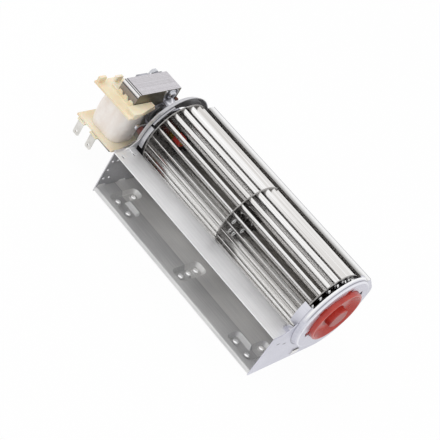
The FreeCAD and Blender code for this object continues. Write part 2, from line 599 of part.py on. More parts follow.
def impeller_disc(name, middle, cut_from, cut_to, hole):
    body = new_body(name, "fan.blade_phase")
    plate = draw_on(body, name + "_outline", "YZ_Plane", f"{middle} - fan.disc_thickness / 2")
    circle(plate, "0", "0", "fan.impeller_radius")
    circle(plate, "0", "0", hole)
    pad(body, name + "_sheet", plate, "fan.disc_thickness")
    slot = draw_on(body, name + "_slot", "YZ_Plane", f"{middle} - fan.disc_thickness")
    blade_section(slot, cut_from, cut_to, "fan.slot_gap")
    slot_cut = cut(body, name + "_slot_cut", slot, "2 * fan.disc_thickness", True)
    repeat_about_x(body, name + "_slots", [slot_cut], "fan.blade_count")
    return body


disc_bearing_x = "(fan.housing_width - fan.disc_bearing_inset)"
disc_middle_x = f"((fan.disc_motor_x + {disc_bearing_x}) / 2)"
impeller_disc("disc_motor_end", "fan.disc_motor_x", "fan.tab_root", "fan.tab_tip", "fan.hub_radius")
impeller_disc("disc_bearing_end", disc_bearing_x, "fan.tab_root", "fan.tab_tip", "fan.shaft_radius")
middle_disc = impeller_disc("disc_middle", disc_middle_x, "fan.blade_root", "fan.blade_tip",
                            "fan.centre_hole")

# Middle disc: a ring of drawn eyelets that stiffens it

eyelet_y = "fan.eyelet_circle * cos(fan.eyelet_phase)"
eyelet_z = "fan.eyelet_circle * sin(fan.eyelet_phase)"
rims = draw_on(middle_disc, "eyelet_rim", "YZ_Plane", f"{disc_middle_x} + fan.disc_thickness / 2")
circle(rims, eyelet_y, eyelet_z, "fan.eyelet_radius")
rim_pad = pad(middle_disc, "eyelet_rim_solid", rims, "fan.eyelet_height")
holes = draw_on(middle_disc, "eyelet_hole_outline", "YZ_Plane", f"{disc_middle_x} - fan.disc_thickness")
circle(holes, eyelet_y, eyelet_z, "fan.eyelet_hole")
hole_cut = cut(middle_disc, "eyelet_hole_cut", holes, "2 * fan.disc_thickness + fan.eyelet_height", True)
repeat_about_x(middle_disc, "eyelets", [rim_pad, hole_cut], "fan.eyelet_count")

blade_start = "(fan.disc_motor_x + fan.disc_thickness / 2)"
blade_end = f"({disc_bearing_x} - fan.disc_thickness / 2)"
for index in range(int(number("fan.blade_count"))):
    name = "blade_%02d" % (index + 1)
    blade = new_body(name, f"fan.blade_phase + {index} * 360 / fan.blade_count")
    strip = draw_on(blade, name + "_section", "YZ_Plane", blade_start)
    blade_section(strip, "fan.blade_root", "fan.blade_tip", "0")
    pad(blade, name + "_strip", strip, f"{blade_end} - {blade_start}")
    tabs = draw_on(blade, name + "_tab_section", "YZ_Plane",
                   f"{blade_start} - fan.disc_thickness - fan.tab_proud")
    blade_section(tabs, "fan.tab_root", "fan.tab_tip", "0")
    pad(blade, name + "_tabs", tabs,
        f"{blade_end} - {blade_start} + 2 * (fan.disc_thickness + fan.tab_proud)")

# Drive: shaft, brass hub, silicone bush, and the stub shaft of the free end

turned_piece("motor_shaft", [
    ("-fan.shaft_rear", "0"), ("fan.shaft_front", "0"), ("fan.shaft_front", "fan.shaft_radius - 0.4"),
    ("fan.shaft_front - 0.4", "fan.shaft_radius"), ("-fan.shaft_rear + 0.4", "fan.shaft_radius"),
    ("-fan.shaft_rear", "fan.shaft_radius - 0.4")])
disc_back = "(fan.disc_motor_x - fan.disc_thickness / 2)"
disc_front = "(fan.disc_motor_x + fan.disc_thickness / 2)"
collar_end = f"({disc_front} + fan.hub_collar)"
sleeve_end = f"({collar_end} + fan.bush_length)"
turned_piece("drive_hub", [
    ("0", "fan.shaft_radius"), (f"{sleeve_end} - 0.5", "fan.shaft_radius"),
    (f"{sleeve_end} - 0.5", "fan.hub_spigot"), (collar_end, "fan.hub_spigot"),
    (collar_end, "fan.bush_radius"), (disc_front, "fan.bush_radius"), (disc_front, "fan.hub_radius"), (disc_back, "fan.hub_radius"),
    (disc_back, "fan.hub_lip"), (f"{disc_back} - 1", "fan.hub_lip"),
    (f"{disc_back} - 1", "fan.hub_flange"), ("0", "fan.hub_flange")])
turned_piece("drive_bush", [
    (collar_end, "fan.hub_spigot"), (sleeve_end, "fan.hub_spigot"), (sleeve_end, "fan.bush_radius - 0.6"),
    (f"{sleeve_end} - 0.6", "fan.bush_radius"), (collar_end, "fan.bush_radius")])
free_inside = f"({disc_bearing_x} - fan.disc_thickness / 2)"
free_outside = f"({disc_bearing_x} + fan.disc_thickness / 2)"
stub_tip = "(fan.housing_width + fan.stub_reach)"
turned_piece("stub_shaft", [
    (f"{free_inside} - fan.stub_flange_width", "0"), (stub_tip, "0"),
    (stub_tip, "fan.shaft_radius - 0.4"), (f"{stub_tip} - 0.4", "fan.shaft_radius"),
    (f"{free_outside} + 0.6", "fan.shaft_radius"), (f"{free_outside} + 0.6", "fan.shaft_radius + 1"),
    (free_outside, "fan.shaft_radius + 1"), (free_outside, "fan.shaft_radius"),
    (free_inside, "fan.shaft_radius"), (free_inside, "fan.stub_flange"),
    (f"{free_inside} - fan.stub_flange_width", "fan.stub_flange")])

# Motor laminations: a C-shaped stack, and the core leg that carries the winding

window_top = "(fan.stack_top - fan.arm_height)"
window_base = "(-fan.stack_base + fan.arm_height)"
stack_length = "fan.stack_rear - fan.stack_front"
leg_middle = "(-fan.stack_nose + fan.leg_width / 2)"


def key_points(level, way, gap):
    # the dovetail key that joins the leg to an arm, from left to right
    narrow = f"(fan.key_width / 2 + {gap})"
    wide = f"(fan.key_width / 2 + 1 + {gap})"
    height = f"{level} + {way} * (fan.key_depth + {gap})"
    return [(f"{leg_middle} - {narrow}", level), (f"{leg_middle} - {wide}", height),
            (f"{leg_middle} + {wide}", height), (f"{leg_middle} + {narrow}", level)]


stack = new_body("stator_stack")
section = draw_on(stack, "stack_section", "YZ_Plane", "-fan.stack_rear")
rounding = "fan.stack_round"
outline(section, [
    (f"-fan.stack_nose + {rounding}", "-fan.stack_base"),
    ("fan.stack_tail", "-fan.stack_base"),
    ("fan.stack_tail", "fan.stack_top"),
    (f"-fan.stack_nose + {rounding}", "fan.stack_top", rounding, 1),
    ("-fan.stack_nose", f"fan.stack_top - {rounding}"),
    ("-fan.stack_nose", window_top)]
    + key_points(window_top, 1, "0.02")
    + [("-fan.head_front", window_top), ("-fan.head_front", window_base)]
    + key_points(window_base, -1, "0.02")[::-1]
    + [("-fan.stack_nose", window_base),
       ("-fan.stack_nose", f"-fan.stack_base + {rounding}", rounding, 1)])
pad(stack, "stack_length", section, stack_length)
bore = draw_on(stack, "stack_holes", "YZ_Plane", "-fan.stack_rear")
circle(bore, "0", "0", "fan.stator_bore")
for way in ("", "-"):
    circle(bore, "fan.bolt_y", f"{way}fan.bolt_z", "fan.bolt_radius + fan.bolt_gap")
wire = "(fan.ring_wire + 0.1)"
box_outline(bore, "fan.ring_start - 0.05", "fan.ring_z - 0.05", f"fan.ring_start + {wire} - 0.05",
            f"fan.ring_z + {wire} - 0.05")
box_outline(bore, f"-fan.ring_start - {wire} + 0.05", f"-fan.ring_z - {wire} + 0.05",
            "-fan.ring_start + 0.05", "-fan.ring_z + 0.05")
circle(bore, "-fan.stack_nose + fan.groove_inset", "fan.stack_top", "fan.groove_radius")
circle(bore, "-fan.stack_nose", "fan.stack_top - fan.groove_inset", "fan.groove_radius")
cut(stack, "stack_hole_cuts", bore, stack_length, True)

leg = new_body("coil_core")
section = draw_on(leg, "leg_section", "YZ_Plane", "-fan.stack_rear")
leg_front = "-fan.stack_nose"
leg_rear = "-fan.stack_nose + fan.leg_width"
outline(section, [(leg_front, window_base)] + key_points(window_base, -1, "0")
        + [(leg_rear, window_base), (leg_rear, window_top)] + key_points(window_top, 1, "0")[::-1]
        + [(leg_front, window_top)])
pad(leg, "leg_length", section, stack_length)

# Copper shading rings: one through each pole, wrapped round the pole's side

for name, side in (("shading_ring_upper", 1), ("shading_ring_lower", -1)):
    ring = new_body(name)
    level = "fan.ring_z" if side > 0 else "-fan.ring_z - fan.ring_wire"
    loop = draw_on(ring, name + "_loop", "XY_Plane", level)
    wrapped = "fan.stack_tail + 0.1" if side > 0 else "fan.head_front + 0.1"
    for spread in ("fan.ring_wire", "0"):
        near = f"{side} * (fan.ring_start + fan.ring_wire - {spread})"
        far = f"{side} * ({wrapped} + {spread})"
        box_outline(loop, f"-fan.stack_rear - 0.1 - {spread}", near if side > 0 else far,
                    f"-fan.stack_front + 0.1 + {spread}", far if side > 0 else near)
    pad(ring, name + "_wire", loop, "fan.ring_wire")

# Rotor: laminated core with square slots, and the cast aluminium cage in it

core = new_body("rotor_core")
section = draw_on(core, "core_section", "YZ_Plane", "-fan.stack_rear")
circle(section, "0", "0", "fan.rotor_radius")
circle(section, "0", "0", "fan.shaft_radius")
pad(core, "core_length", section, stack_length)
cage = new_body("rotor_cage")
section = draw_on(cage, "ring_section", "YZ_Plane", "-fan.stack_rear - fan.cage_ring")
circle(section, "0", "0", "fan.cage_radius")
circle(section, "0", "0", "fan.cage_bore")
pad(cage, "rear_ring", section, "fan.cage_ring")
section = draw_on(cage, "front_ring_section", "YZ_Plane", "-fan.stack_front")
circle(section, "0", "0", "fan.cage_radius")
circle(section, "0", "0", "fan.cage_bore")
bar_low = "fan.cage_radius - fan.cage_bar - 0.2"
bar_high = "fan.cage_radius - 0.2"
bar = draw_on(cage, "bar_section", "YZ_Plane", "-fan.stack_rear - fan.cage_ring / 2")
box_outline(bar, bar_low, "-fan.cage_bar / 2", bar_high, "fan.cage_bar / 2")
bar_pad = pad(cage, "cage_bar_solid", bar, f"{stack_length} + fan.cage_ring")
repeat_about_x(cage, "cage_bars_solid", [bar_pad], "fan.cage_bars")
pad(cage, "front_ring", section, "fan.cage_ring")
slot = draw_on(core, "slot_section", "YZ_Plane", "-fan.stack_rear")
box_outline(slot, bar_low, "-fan.cage_bar / 2", bar_high, "fan.cage_bar / 2")
slot_cut = cut(core, "slot_cut", slot, stack_length, True)
repeat_about_x(core, "core_slots", [slot_cut], "fan.cage_bars")

# Bobbin: nylon tube and two flanges, with a toothed rail, posts and tab sockets

bobbin_top = f"({window_top} - fan.bobbin_gap)"
bobbin_base = f"({window_base} + fan.bobbin_gap)"
bobbin = new_body("bobbin")


def flange_outline(sketch):
    outline(sketch, [
        ("-fan.flange_back", "-fan.flange_front"), ("-fan.flange_side", "-fan.flange_front + 1"),
        ("-fan.flange_side", "-fan.flange_front + 9"), ("-fan.flange_waist", "-fan.flange_rear"),
        ("-fan.flange_back + 6", "-fan.flange_rear"), ("-fan.flange_back", "-fan.flange_rear - 9")])


def leg_box(sketch, gap):
    box_outline(sketch, f"-fan.stack_rear - {gap}", f"-fan.stack_nose - {gap}",
                f"-fan.stack_front + {gap}", f"-fan.stack_nose + fan.leg_width + {gap}")


tube = draw_on(bobbin, "tube_outline", "XY_Plane", bobbin_base)
leg_box(tube, "(fan.bobbin_gap + fan.bobbin_wall)")
pad(bobbin, "tube", tube, f"{bobbin_top} - {bobbin_base}")
for name, level, flip in (("lower", bobbin_base, False), ("upper", bobbin_top, True)):
    plate = draw_on(bobbin, name + "_flange_outline", "XY_Plane", level)
    flange_outline(plate)
    pad(bobbin, name + "_flange", plate, "fan.flange_thickness", flip)
rail_front = "(-fan.stack_nose - fan.bobbin_gap - fan.rail_width)"
rail_back = f"({rail_front} + fan.rail_width)"
rail = draw_on(bobbin, "rail_outline", "XY_Plane", bobbin_top)
box_outline(rail, "-fan.flange_back + 8", rail_front, "-fan.stack_front", rail_back)
pad(bobbin, "rail", rail, "fan.rail_height")
waves = draw_on(bobbin, "wave_outlines", "XZ_Plane", f"-{rail_back}")
wave_base = f"({bobbin_top} + fan.rail_height)"
wave_pitch = f"(({stack_length}) / fan.wave_count)"
for index in range(int(number("fan.wave_count"))):
    start = f"-fan.stack_rear + {wave_pitch} * {index}"
    outline(waves, [(start, f"{wave_base} - 0.3"), (f"{start} + {wave_pitch}", f"{wave_base} - 0.3"),
                    (f"{start} + {wave_pitch} * 0.72", f"{wave_base} + fan.wave_height"),
                    (f"{start} + {wave_pitch} * 0.28", f"{wave_base} + fan.wave_height")])
pad(bobbin, "waves", waves, "fan.rail_width")
posts = draw_on(bobbin, "post_outlines", "XY_Plane", bobbin_top)
for across, up in (("-fan.flange_back + 0.6", "-fan.flange_front + 1"),
                   ("-fan.flange_back + 2.6", "-fan.flange_rear - 16")):
    box_outline(posts, across, up, f"{across} + fan.post_width", f"{up} + fan.post_length")
pad(bobbin, "posts", posts, "fan.post_height")
step = draw_on(bobbin, "upper_step_outline", "XY_Plane", bobbin_top)
outline(step, [("-fan.step_start", "-fan.step_front"), ("-fan.flange_side", "-fan.step_front"),
               ("-fan.flange_side", "-fan.flange_front + 12"),
               ("-fan.flange_waist", "-fan.flange_rear - 2"),
               ("-fan.step_start", "-fan.flange_rear - 2")])
pad(bobbin, "upper_step", step, "fan.step_height")
sockets = draw_on(bobbin, "socket_outlines", "XY_Plane", bobbin_base)
half_tab = "fan.terminal_width / 2"
for middle in ("fan.terminal_first", "fan.terminal_second"):
    box_outline(sockets, f"-{middle} - {half_tab} - fan.socket_wall",
                "-fan.terminal_y - fan.terminal_thick / 2 - fan.socket_wall",
                f"-{middle} + {half_tab} + fan.socket_wall",
                "-fan.terminal_y + fan.terminal_thick / 2 + 2 * fan.socket_wall")
pad(bobbin, "sockets", sockets, "fan.socket_height", True)
leg_hole = draw_on(bobbin, "leg_hole_outline", "XY_Plane", bobbin_base)
leg_box(leg_hole, "fan.bobbin_gap")
cut(bobbin, "leg_hole", leg_hole, f"{bobbin_top} - {bobbin_base}", True)
tab_holes = draw_on(bobbin, "tab_hole_outlines", "XY_Plane", f"{bobbin_base} - fan.socket_height")
for middle in ("fan.terminal_first", "fan.terminal_second"):
    box_outline(tab_holes, f"-{middle} - {half_tab}", "-fan.terminal_y - fan.terminal_thick / 2",
                f"-{middle} + {half_tab}", "-fan.terminal_y + fan.terminal_thick / 2")
cut(bobbin, "tab_holes", tab_holes, "fan.socket_height", True)


# Winding: copper wire under varnished tape, fuller in the middle than at the flanges

winding = new_body("coil_winding")
coil_base = f"({bobbin_base} + fan.flange_thickness)"
coil_top = f"({bobbin_top} - fan.flange_thickness)"
coil_sections = []
for name, level, inset in (("base", coil_base, "fan.base_inset"),
                           ("middle", f"({coil_base} * 0.6 + {coil_top} * 0.4)", "0"),
                           ("top", coil_top, "fan.top_inset")):
    section = draw_on(winding, f"winding_{name}", "XY_Plane", level)
    rounded_box(section, f"(-fan.winding_back + {inset})", f"(-fan.winding_front + {inset})",
                f"(-fan.winding_side - {inset} * 0.7)", "(-fan.winding_rear)",
                f"(fan.winding_round - {inset})")
    coil_sections.append(section)
loft = winding.newObject("PartDesign::AdditiveLoft", "winding_barrel")
loft.Profile = coil_sections[0]
loft.Sections = coil_sections[1:]
doc.recompute()
core_hole = draw_on(winding, "core_hole_outline", "XY_Plane", f"{coil_base} - 1")
leg_box(core_hole, "(fan.bobbin_gap + fan.bobbin_wall)")
cut(winding, "core_hole", core_hole, f"{coil_top} - {coil_base} + 2", True)

# Spade terminals: tin-plated tabs that hang from the sockets

for name, middle in (("terminal_1", "fan.terminal_first"), ("terminal_2", "fan.terminal_second")):
    tab = new_body(name)
    blade_face = draw_on(tab, name + "_outline", "XZ_Plane", "fan.terminal_y - fan.terminal_thick / 2")
    outline(blade_face, [
        (f"-{middle} - {half_tab}", bobbin_base), (f"-{middle} - {half_tab}", "-fan.terminal_tip + 1"),
        (f"-{middle} - {half_tab} + 1", "-fan.terminal_tip"),
        (f"-{middle} + {half_tab} - 1", "-fan.terminal_tip"),
        (f"-{middle} + {half_tab}", "-fan.terminal_tip + 1"), (f"-{middle} + {half_tab}", bobbin_base)])
    circle(blade_face, f"-{middle}", "-fan.terminal_tip + fan.terminal_width / 2", "fan.terminal_hole")
    pad(tab, name + "_sheet", blade_face, "fan.terminal_thick")

# Motor bridges: stamped plates with a drawn bearing cup, screwed to the stack

bridge_in = "(fan.spider_x + fan.bridge_sheet)"
front = new_body("front_bridge")
spider = draw_on(front, "spider_outline", "YZ_Plane", f"-{bridge_in}")
circle(spider, "0", "0", "fan.spider_radius")
pad(front, "spider_disc", spider, "fan.bridge_sheet")
for index, angle in enumerate(arm_angles):
    arm = draw_on(front, f"arm_{index + 1}_outline", "YZ_Plane", f"-{bridge_in}")
    bind(arm, "AttachmentOffset.Rotation.Angle", angle)
    outline(arm, [
        ("fan.spider_radius / 2", "-fan.arm_width / 2"),
        ("fan.arm_reach", "-fan.arm_width / 2", "fan.arm_width / 2", 1),
        ("fan.arm_reach + fan.arm_width / 2", "0", "fan.arm_width / 2", 1),
        ("fan.arm_reach", "fan.arm_width / 2"), ("fan.spider_radius / 2", "fan.arm_width / 2")])
    pad(front, f"arm_{index + 1}", arm, "fan.bridge_sheet")


def bridge_legs(body, name, stack_face, plate_face, way):
    # the folded strip from an ear over the plate to the other ear; way is -1 or 1
    for up in (1, -1):
        strip = draw_on(body, f"{name}_{'top' if up > 0 else 'base'}", "XZ_Plane",
                        "-fan.bolt_y - fan.bridge_leg / 2")
        ear_base = f"{up} * fan.bridge_root"
        ear_top = f"{up} * (fan.bridge_root + 1)"
        shoulder = f"{up} * fan.bridge_shoulder"
        low = f"{up} * fan.spider_radius / 2"
        outline(strip, [
            (plate_face, low), (plate_face, shoulder),
            (f"{stack_face} + {way} * fan.bridge_sheet", ear_base),
            (f"{stack_face} + {way} * fan.bridge_sheet", ear_top), (stack_face, ear_top),
            (stack_face, f"{ear_base} - {up} * 0.3"),
            (f"{plate_face} - {way} * fan.bridge_sheet", f"{shoulder} - {up}"),
            (f"{plate_face} - {way} * fan.bridge_sheet", low)])
        pad(body, f"{name}_{'top' if up > 0 else 'base'}_leg", strip, "fan.bridge_leg")
    ears = draw_on(body, name + "_ears", "YZ_Plane", stack_face)
    flat = "sqrt(fan.ear_radius^2 - (fan.ear_top - fan.bolt_z)^2)"
    for up in (1, -1):
        outline(ears, [(f"fan.bolt_y - {flat}", f"{up} * fan.ear_top", "fan.ear_radius", up),
                       ("fan.bolt_y", f"{up} * (fan.bolt_z - fan.ear_radius)", "fan.ear_radius", up),
                       (f"fan.bolt_y + {flat}", f"{up} * fan.ear_top")])
    pad(body, name + "_ear_discs", ears, "fan.bridge_sheet", way < 0)
    holes = draw_on(body, name + "_ear_holes", "YZ_Plane", f"{stack_face} - {way} * fan.bridge_sheet")
    circle(holes, "fan.bolt_y", "fan.bolt_z", "fan.bolt_radius + fan.bolt_gap")
    circle(holes, "fan.bolt_y", "-fan.bolt_z", "fan.bolt_radius + fan.bolt_gap")
    cut(body, name + "_ear_hole_cuts", holes, "3 * fan.bridge_sheet", way > 0)


def bearing_cup(body, name, bottom, way):
    # a drawn cup that opens towards the rotor; bottom is its outer end, way points out of it
    outside = "(fan.cup_radius + fan.bridge_sheet)"
    floor_face = f"{bottom} - {way} * fan.bridge_sheet"
    mouth = f"{bottom} - {way} * fan.cup_depth"
    bore = draw_on(body, name + "_bore", "YZ_Plane", mouth)
    circle(bore, "0", "0", outside)
    pad(body, name + "_wall", bore, "fan.cup_depth", way < 0)
    hollow = draw_on(body, name + "_hollow", "YZ_Plane", mouth)
    circle(hollow, "0", "0", "fan.cup_radius")
    cut(body, name + "_hollow_cut", hollow, "fan.cup_depth - fan.bridge_sheet", way > 0)
    shaft_hole = draw_on(body, name + "_shaft_hole", "YZ_Plane", mouth)
    circle(shaft_hole, "0", "0", "fan.cup_mouth")
    cut(body, name + "_shaft_cut", shaft_hole, "fan.cup_depth", way > 0)


bridge_legs(front, "front_strip", "-fan.stack_front", "-fan.spider_x", 1)
bearing_cup(front, "front_cup", "-fan.spider_x", 1)
screw_holes = draw_on(front, "arm_holes", "YZ_Plane", f"-{bridge_in}")
for angle in arm_angles:
    circle(screw_holes, f"fan.arm_reach * cos({angle})", f"fan.arm_reach * sin({angle})",
           "fan.mount_screw + fan.bolt_gap")
cut(front, "arm_hole_cuts", screw_holes, "fan.bridge_sheet", True)

rear = new_body("rear_bridge")
plate = draw_on(rear, "rear_plate_outline", "YZ_Plane", "-fan.rear_cup_x")
circle(plate, "0", "0", "fan.spider_radius")
pad(rear, "rear_plate", plate, "fan.bridge_sheet")
bridge_legs(rear, "rear_strip", "-fan.stack_rear", "-fan.rear_cup_x", -1)
bearing_cup(rear, "rear_cup", "-fan.rear_cup_x", -1)


def barrel_bearing(name, middle):
    half = "fan.bearing_width / 2"
    shoulder = "(fan.bearing_radius - 1)"
    sphere = "((fan.bearing_width / 2)^2 + 1) / 2"
    turned_piece(name, [
        (f"{middle} - {half}", "fan.shaft_radius + fan.running_gap"),
        (f"{middle} + {half}", "fan.shaft_radius + fan.running_gap"),
        (f"{middle} + {half}", shoulder, sphere, 1),
        (middle, "fan.bearing_radius", sphere, 1),
        (f"{middle} - {half}", shoulder)])


barrel_bearing("front_bearing", "-fan.spider_x - fan.bridge_sheet - fan.bearing_width / 2")
barrel_bearing("rear_bearing", "-fan.rear_cup_x + fan.bridge_sheet + fan.bearing_width / 2")

# Fasteners: two motor screws with washers and nuts, three mount screws, three silicone mounts


def joined(name, solids):
    group = doc.addObject("Part::Feature", name)
    group.Label = name
    group.Shape = Part.makeCompound(solids)
    place(group)
    parts.append(group)
    return group


def rod(start, end, y, z, radius):
    length = end - start
    return Part.makeCylinder(radius, length, FreeCAD.Vector(start, y, z), FreeCAD.Vector(1, 0, 0))


bolt_y = number("fan.bolt_y")
bolt_z = number("fan.bolt_z")
bridge_face = number("-fan.stack_front + fan.bridge_sheet")
rear_face = number("-fan.stack_rear - fan.bridge_sheet")
screws = []
nuts = []
for level in (bolt_z, -bolt_z):
    shank_end = rear_face - number("fan.nut_height") - 1
    head = rod(bridge_face, bridge_face + number("fan.screw_head_height"), bolt_y, level,
               number("fan.screw_head"))
    rim = [edge for edge in head.Edges if abs(edge.CenterOfMass.x - bridge_face) > 1]
    head = head.makeFillet(number("fan.screw_head_height") * 0.4, [edge for edge in rim if edge.Closed])
    washer = rod(bridge_face, bridge_face + number("fan.washer_height"), bolt_y, level,
                 number("fan.washer_radius"))
    shank = rod(shank_end, bridge_face, bolt_y, level, number("fan.bolt_radius"))
    recess = rod(bridge_face + number("fan.screw_head_height") * 0.5,
                 bridge_face + number("fan.screw_head_height") + 1, bolt_y, level,
                 number("fan.bolt_radius") * 0.6)
    screws.append(head.fuse([washer, shank]).removeSplitter().cut(recess))
    corner = number("fan.nut_flat") / math.cos(math.radians(30))
    ring = []
    for index in range(7):
        angle = math.radians(60 * index)
        across = bolt_y + corner * math.cos(angle)
        ring.append(FreeCAD.Vector(rear_face, across, level + corner * math.sin(angle)))
    hexagon = Part.Face(Part.makePolygon(ring))
    nut = hexagon.extrude(FreeCAD.Vector(-number("fan.nut_height"), 0, 0))
    nuts.append(nut.cut(rod(shank_end - 1, bridge_face, bolt_y, level, number("fan.bolt_radius"))))
joined("motor_screws", screws)
joined("motor_nuts", nuts)

mount_screws = []
for angle in arm_angles:
    y = number(f"fan.arm_reach * cos({angle})")
    z = number(f"fan.arm_reach * sin({angle})")
    seat = number(f"-{bridge_in}")
    head = rod(seat - number("fan.mount_head_height"), seat, y, z, number("fan.mount_head"))
    shank = rod(seat, number("-fan.motor_dish + fan.sheet") + 1.2, y, z, number("fan.mount_screw"))
    mount_screws.append(head.fuse(shank).removeSplitter())
joined("mount_screws", mount_screws)

for index, angle in enumerate(arm_angles):
    name = "motor_mount_%d" % (index + 1)
    mount = new_body(name)
    ring = draw_on(mount, name + "_outline", "YZ_Plane", "-fan.spider_x")
    middle_y = f"fan.arm_reach * cos({angle})"
    middle_z = f"fan.arm_reach * sin({angle})"
    circle(ring, middle_y, middle_z, "fan.grommet_radius")
    circle(ring, middle_y, middle_z, "fan.mount_screw + fan.bolt_gap")
    pad(mount, name + "_body", ring, "fan.spider_x - fan.motor_dish")

# Check every object, then write one file for each piece

doc.recompute()
faults = []
for item in doc.Objects:
    if "Invalid" in item.State or "Error" in item.State:
        faults.append(item.Name)
for item in parts:
    if item.Shape.isNull() or not item.Shape.isValid() or not item.Shape.Solids:
        faults.append(item.Label)
if faults:
    raise ValueError("these objects failed: " + ", ".join(faults))
os.makedirs("parts", exist_ok=True)
for item in parts:
    item.Shape.exportStep("parts/%s.step" % item.Label)
print("%d pieces written" % len(parts))
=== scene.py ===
import math

import bpy
from mathutils import Matrix, Vector, noise


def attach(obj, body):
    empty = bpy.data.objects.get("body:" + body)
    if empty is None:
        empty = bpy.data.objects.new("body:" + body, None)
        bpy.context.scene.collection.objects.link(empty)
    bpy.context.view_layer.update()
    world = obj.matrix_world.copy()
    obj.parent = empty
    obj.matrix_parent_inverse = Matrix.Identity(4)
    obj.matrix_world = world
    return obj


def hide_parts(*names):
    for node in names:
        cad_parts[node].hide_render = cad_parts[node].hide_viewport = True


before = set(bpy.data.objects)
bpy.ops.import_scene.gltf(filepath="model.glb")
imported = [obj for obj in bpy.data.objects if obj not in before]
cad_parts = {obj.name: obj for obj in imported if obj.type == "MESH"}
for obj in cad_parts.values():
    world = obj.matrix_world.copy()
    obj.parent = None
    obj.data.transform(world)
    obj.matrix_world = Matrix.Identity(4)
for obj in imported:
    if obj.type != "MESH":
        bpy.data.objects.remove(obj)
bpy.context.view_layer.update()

# Camera: it looks down from the right of the outlet and is rolled, so that the
# impeller runs across the picture from its upper left to its lower right corner.
camera_data = bpy.data.cameras.new("camera")
camera_data.lens = 104.85
camera = bpy.data.objects.new("camera", camera_data)
bpy.context.collection.objects.link(camera)
camera_turn = math.radians(24.898)
camera_tilt = math.radians(54.533)
camera_roll = math.radians(33.797)
camera_axes = (Matrix.Rotation(camera_turn, 3, "Z") @ Matrix.Rotation(camera_tilt, 3, "X")
               @ Matrix.Rotation(camera_roll, 3, "Z"))
camera.rotation_euler = camera_axes.to_euler()
camera.location = (0.31047, -0.67442, 0.58688)
bpy.context.scene.camera = camera
bpy.context.scene.view_settings.view_transform = "Standard"

# Scroll sheet: galvanised steel 0.8 mm thick, folded into the outlet floor with its
# three sunk pads, the scroll and the lip, and fixed by tabs through both end plates.
# Zinc gives it a satin face with faint rolling lines, and its inside is darkened for dust and for painted
# shade.
mm = 0.001


class Socket:
    # a shader socket, on which plain arithmetic adds the nodes that work it out
    def __init__(self, tree, socket):
        self.tree = tree
        self.socket = socket

    def node(self, kind, settings=None, **inputs):
        # an input is named by its number, as in _0, or by its own name
        made = self.tree.nodes.new(kind)
        for name, value in (settings or {}).items():
            setattr(made, name, value)
        for name, value in inputs.items():
            slot = int(name[1:]) if name[0] == "_" else name.replace("_", " ")
            if isinstance(value, Socket):
                self.tree.links.new(value.socket, made.inputs[slot])
            else:
                made.inputs[slot].default_value = value
        return made

    def out(self, kind, output=0, settings=None, **inputs):
        return Socket(self.tree, self.node(kind, settings, **inputs).outputs[output])

    def maths(self, operation, *values):
        inputs = {f"_{index}": value for index, value in enumerate(values)}
        return self.out("ShaderNodeMath", settings={"operation": operation}, **inputs)

    def __add__(self, other):
        return self.maths("ADD", self, other)

    def __radd__(self, other):
        return self.maths("ADD", other, self)

    def __sub__(self, other):
        return self.maths("SUBTRACT", self, other)

    def __rsub__(self, other):
        return self.maths("SUBTRACT", other, self)

    def __mul__(self, other):
        return self.maths("MULTIPLY", self, other)

    def __rmul__(self, other):
        return self.maths("MULTIPLY", other, self)

    def span(self, low, high, to_low=0.0, to_high=1.0):
        return self.out("ShaderNodeMapRange", _0=self, _1=low, _2=high, _3=to_low, _4=to_high)

    def fade(self, low, high):
        # 1 up to the low value, falling to 0 at the high one
        return self.span(low, high, 1.0, 0.0)

    def line(self, middle, half_width):
        # 1 on a line at this value, fading to 0 at half_width on either side
        away = self - middle
        return away.maths("ABSOLUTE", away).fade(0.0, half_width)

    def axis(self, index):
        return self.out("ShaderNodeSeparateXYZ", index, Vector=self)

    def from_line(self, axes, places):
        # distance in metres from a line that crosses these two axes at these places
        first = self.axis(axes[0]) - places[0]
        second = self.axis(axes[1]) - places[1]
        squares = first * first + second * second
        return squares.maths("SQRT", squares)

    def mix(self, low, high):
        return self.out("ShaderNodeMix", 2, {"data_type": "RGBA"}, _0=self, _6=low, _7=high)

    def noise(self, scale, detail, stretch=(1, 1, 1)):
        place = self.out("ShaderNodeVectorMath", settings={"operation": "MULTIPLY"}, _0=self, _1=stretch)
        return place.out("ShaderNodeTexNoise", 0, Vector=place, Scale=scale, Detail=detail)


def colour(hex_code):
    parts = [int(hex_code[place:place + 2], 16) / 255 for place in (0, 2, 4)]
    linear = [part / 12.92 if part <= 0.04045 else ((part + 0.055) / 1.055) ** 2.4 for part in parts]
    return (*linear, 1)


def material(name, **settings):
    # returns the paint, its shader and the place on the piece
    made = bpy.data.materials.new(name)
    made.use_nodes = True
    shader = made.node_tree.nodes["Principled BSDF"]
    for socket, value in settings.items():
        shader.inputs[socket.replace("_", " ")].default_value = value
    start = Socket(made.node_tree, None)
    return made, shader, start.out("ShaderNodeTexCoord", "Object")


def feed(shader, name, value):
    value.tree.links.new(value.socket, shader.inputs[name])


def bump(shader, height, distance, strength):
    relief = height.out("ShaderNodeBump", 0, Height=height, Distance=distance, Strength=strength)
    feed(shader, "Normal", relief)


def pick(*pieces):
    bpy.ops.object.select_all(action="DESELECT")
    for piece in pieces:
        piece.select_set(True)
    bpy.context.view_layer.objects.active = pieces[0]


def merged_copy(node):
    piece = bpy.data.objects.new(node + "_finished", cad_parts[node].data.copy())
    bpy.context.collection.objects.link(piece)
    pick(piece)
    bpy.ops.object.mode_set(mode="EDIT")
    bpy.ops.mesh.select_all(action="SELECT")
    bpy.ops.mesh.remove_doubles(threshold=0.005 * mm)
    bpy.ops.mesh.dissolve_limited(angle_limit=math.radians(1))
    bpy.ops.object.mode_set(mode="OBJECT")
    return piece


def hand_over(piece, node, body, paint):
    piece.data.materials.clear()
    piece.data.materials.append(paint)
    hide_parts(node)
    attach(piece, body)


